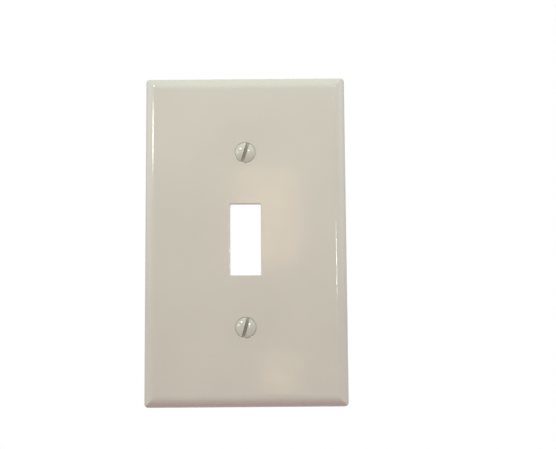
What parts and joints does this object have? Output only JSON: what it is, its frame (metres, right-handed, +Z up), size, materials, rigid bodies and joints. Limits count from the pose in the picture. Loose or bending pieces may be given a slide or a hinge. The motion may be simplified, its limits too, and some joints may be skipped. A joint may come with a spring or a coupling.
{
  "type": "wall plate cover",
  "caption": "Rolled-edge plastic wall plate that covers a toggle switch's box, with slotted oval-head screws held captive by push-on rings.",
  "frame": {"origin": "on the wall plane (the plane of the plate's back rim), midway between the axes of the two screws", "axes": "+X to the right as seen from the room, +Y into the wall along the screws, +Z up the plate's long side; the front face is at y = -5.6 mm"},
  "size_m": [0.0698, 0.0138, 0.1142],
  "materials": {
    "plate_plastic": "glossy light almond moulded plastic",
    "screw_paint": "light almond enamel on the head, bright zinc plating on the shank",
    "retainer_nylon": "natural white nylon"
  },
  "bodies": {
    "plate": {"wall_plate": "plate_plastic"},
    "upper_retainer": {"upper_screw_retainer": "retainer_nylon"},
    "upper_screw": {"upper_screw": "screw_paint"},
    "lower_retainer": {"lower_screw_retainer": "retainer_nylon"},
    "lower_screw": {"lower_screw": "screw_paint"}
  },
  "joints": [
    {"name": "upper_screw_travel", "type": "slide", "parent": "plate", "child": "upper_retainer", "axis": [0, -1, 0], "range_m": [0, 0.00135]},
    {"name": "upper_screw_turn", "type": "hinge", "parent": "upper_retainer", "child": "upper_screw", "pos_m": [0, 0, 0.03016], "axis": [0, 1, 0], "continuous": true},
    {"name": "lower_screw_travel", "type": "slide", "parent": "plate", "child": "lower_retainer", "axis": [0, -1, 0], "range_m": [0, 0.00135]},
    {"name": "lower_screw_turn", "type": "hinge", "parent": "lower_retainer", "child": "lower_screw", "pos_m": [0, 0, -0.03016], "axis": [0, 1, 0], "continuous": true}
  ]
}
